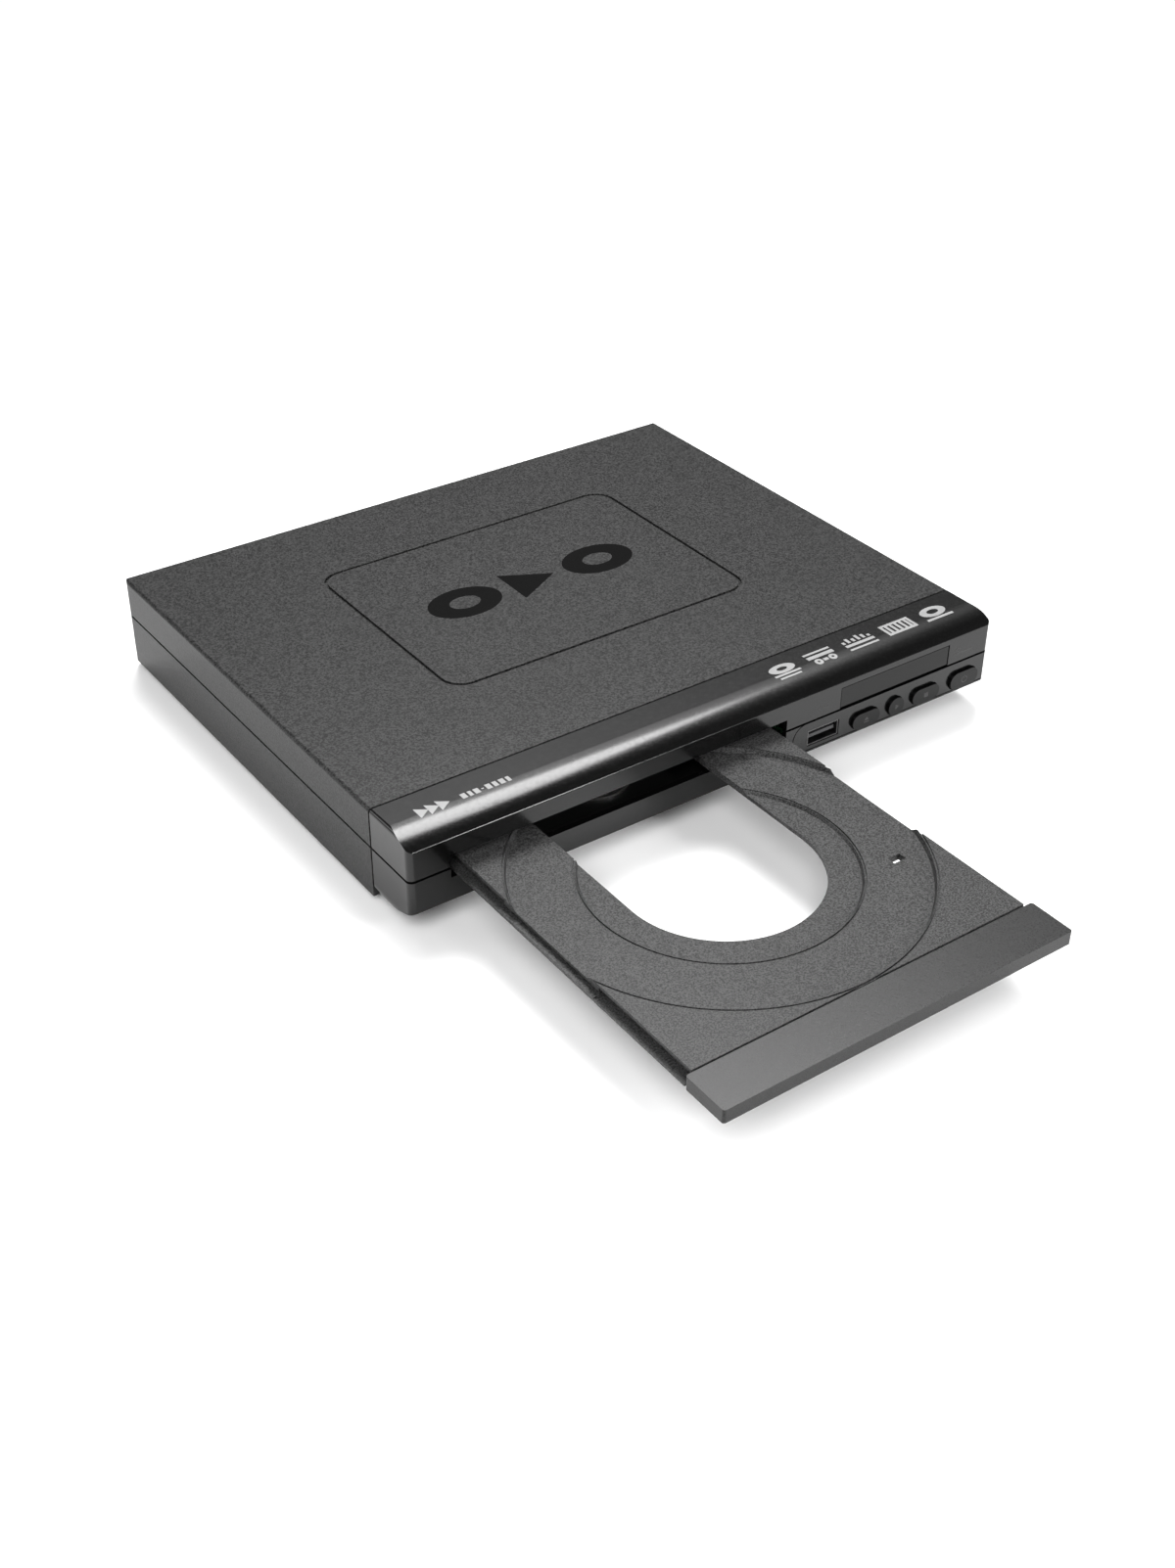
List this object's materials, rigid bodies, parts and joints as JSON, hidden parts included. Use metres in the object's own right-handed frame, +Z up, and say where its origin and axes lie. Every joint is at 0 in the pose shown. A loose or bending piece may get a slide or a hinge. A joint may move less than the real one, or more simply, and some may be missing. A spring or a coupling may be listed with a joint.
{
  "type": "disc player with tray",
  "caption": "Low box-shaped disc player with its motor-driven tray run out, round-edged front panel, display window, memory stick socket and row of press buttons.",
  "frame": {"origin": "on the table, in the middle of the floor area covered with the tray run out", "axes": "+X to the right seen from the front, +Y from the front to the back, +Z up"},
  "size_m": [0.225, 0.3154, 0.0338],
  "materials": {
    "case_grey": "fine grain",
    "panel_black": "gloss",
    "window_smoke": "gloss, smoked",
    "cap_black": "satin",
    "tray_grey": "fine grain",
    "door_grey": "satin",
    "inner_black": "matt",
    "gear_white": "satin",
    "steel": "satin",
    "plated": "bright",
    "socket_metal": "dull",
    "rubber_black": "matt",
    "board_green": "lacquered",
    "chip_black": "matt",
    "white_plastic": "satin",
    "lens_clear": "coated",
    "sink_aluminium": "satin",
    "capacitor_sleeve": "gloss",
    "transformer_tape": "taped",
    "brass": "plain",
    "fuse_glass": "clear"
  },
  "bodies": {
    "player": {"bottom_case": "case_grey", "top_cover": "case_grey", "front_panel": "panel_black", "lower_panel": "panel_black", "control_strip": "panel_black", "display_window": "window_smoke", "usb_shell": "socket_metal", "usb_tongue": "chip_black", "usb_board": "board_green", "front_board": "board_green", "tact_switches": "chip_black", "display_module": "white_plastic", "infrared_receiver": "chip_black", "rubber_feet": "rubber_black", "case_screws": "steel", "loader_frame": "inner_black", "loader_screws": "steel", "drive_belt": "rubber_black", "loading_motor": "steel", "tray_switch": "chip_black", "clamp_bridge": "inner_black", "main_board": "board_green", "decoder_chip": "chip_black", "heat_sink": "sink_aluminium", "board_chips": "chip_black", "board_screws": "steel", "power_board": "board_green", "transformer": "transformer_tape", "filter_capacitors": "capacitor_sleeve", "regulator_sink": "sink_aluminium", "mains_fuse": "fuse_glass", "mains_inlet": "chip_black", "rear_panel": "case_grey", "jack_board": "board_green", "phono_block": "chip_black", "phono_barrels": "plated", "phono_inserts": "white_plastic", "ribbon_cables": "white_plastic"},
    "tray": {"tray": "tray_grey", "tray_door": "door_grey"},
    "pinion": {"pinion_wheel": "gear_white"},
    "pulley": {"pulley_gear": "gear_white"},
    "small_pulley": {"motor_pulley": "gear_white"},
    "cam": {"cam_slide": "gear_white"},
    "traverse": {"traverse": "inner_black", "traverse_dampers": "rubber_black", "spindle_motor": "steel", "guide_rods": "steel", "feed_motor": "steel"},
    "turntable": {"turntable": "inner_black"},
    "pickup": {"pickup": "inner_black", "pickup_lens": "lens_clear"},
    "feed_wheel": {"feed_wheel": "gear_white"},
    "feed_gear": {"feed_motor_gear": "brass"},
    "clamper": {"clamper": "inner_black", "clamp_magnet": "steel"},
    "eject": {"eject_button": "cap_black"},
    "play": {"play_button": "cap_black"},
    "stop": {"stop_button": "cap_black"},
    "power": {"power_button": "cap_black"}
  },
  "joints": [
    {"name": "tray_slide", "type": "slide", "parent": "player", "child": "tray", "axis": [0, 1, 0], "range_m": [0, 0.1215]},
    {"name": "pinion_spin", "type": "hinge", "parent": "player", "child": "pinion", "pos_m": [-0.0816, -0.01165, 0.014], "axis": [0, 0, 1], "range_deg": [-1095, 0]},
    {"name": "pulley_spin", "type": "hinge", "parent": "player", "child": "pulley", "pos_m": [-0.0624, -0.01165, 0.014], "axis": [0, 0, 1], "range_deg": [0, 3270]},
    {"name": "motor_pulley_spin", "type": "hinge", "parent": "player", "child": "small_pulley", "pos_m": [-0.0334, -0.01165, 0.016], "axis": [0, 0, 1], "range_deg": [0, 10850]},
    {"name": "traverse_lift", "type": "hinge", "parent": "player", "child": "traverse", "pos_m": [-0.037, 0.10915, 0.0104], "axis": [-1, 0, 0], "range_deg": [0, 3.38]},
    {"name": "cam_shift", "type": "slide", "parent": "player", "child": "cam", "axis": [1, 0, 0], "range_m": [0, 0.0122]},
    {"name": "turntable_spin", "type": "hinge", "parent": "traverse", "child": "turntable", "pos_m": [-0.037, 0.04125, 0.017], "axis": [0, 0, 1], "continuous": true},
    {"name": "pickup_slide", "type": "slide", "parent": "traverse", "child": "pickup", "axis": [0, 1, 0], "range_m": [0, 0.032]},
    {"name": "feed_wheel_spin", "type": "hinge", "parent": "traverse", "child": "feed_wheel", "pos_m": [-0.008, 0.06725, 0.012], "axis": [0, 0, 1], "range_deg": [-615, 0]},
    {"name": "feed_motor_spin", "type": "hinge", "parent": "traverse", "child": "feed_gear", "pos_m": [-0.008, 0.07725, 0.012], "axis": [0, 0, 1], "range_deg": [0, 1840]},
    {"name": "clamper_spin", "type": "hinge", "parent": "player", "child": "clamper", "pos_m": [-0.037, 0.04125, 0.027], "axis": [0, 0, 1], "continuous": true},
    {"name": "eject_press", "type": "slide", "parent": "player", "child": "eject", "axis": [0, 1, 0], "range_m": [0, 0.0004], "stiffness_N_per_m": 800, "springref_m": -0.0004},
    {"name": "play_press", "type": "slide", "parent": "player", "child": "play", "axis": [0, 1, 0], "range_m": [0, 0.0004], "stiffness_N_per_m": 800, "springref_m": -0.0004},
    {"name": "stop_press", "type": "slide", "parent": "player", "child": "stop", "axis": [0, 1, 0], "range_m": [0, 0.0004], "stiffness_N_per_m": 800, "springref_m": -0.0004},
    {"name": "power_press", "type": "slide", "parent": "player", "child": "power", "axis": [0, 1, 0], "range_m": [0, 0.0004], "stiffness_N_per_m": 800, "springref_m": -0.0004}
  ],
  "couplings": [
    {"joint": "pinion_spin", "follows": "tray_slide", "rad_per_m": -156.25},
    {"joint": "pulley_spin", "follows": "tray_slide", "rad_per_m": 468.75},
    {"joint": "motor_pulley_spin", "follows": "tray_slide", "rad_per_m": 1552.7},
    {"joint": "cam_shift", "follows": "traverse_lift", "m_per_rad": 0.2036},
    {"joint": "feed_wheel_spin", "follows": "pickup_slide", "rad_per_m": -333.33},
    {"joint": "feed_motor_spin", "follows": "pickup_slide", "rad_per_m": 1000}
  ]
}
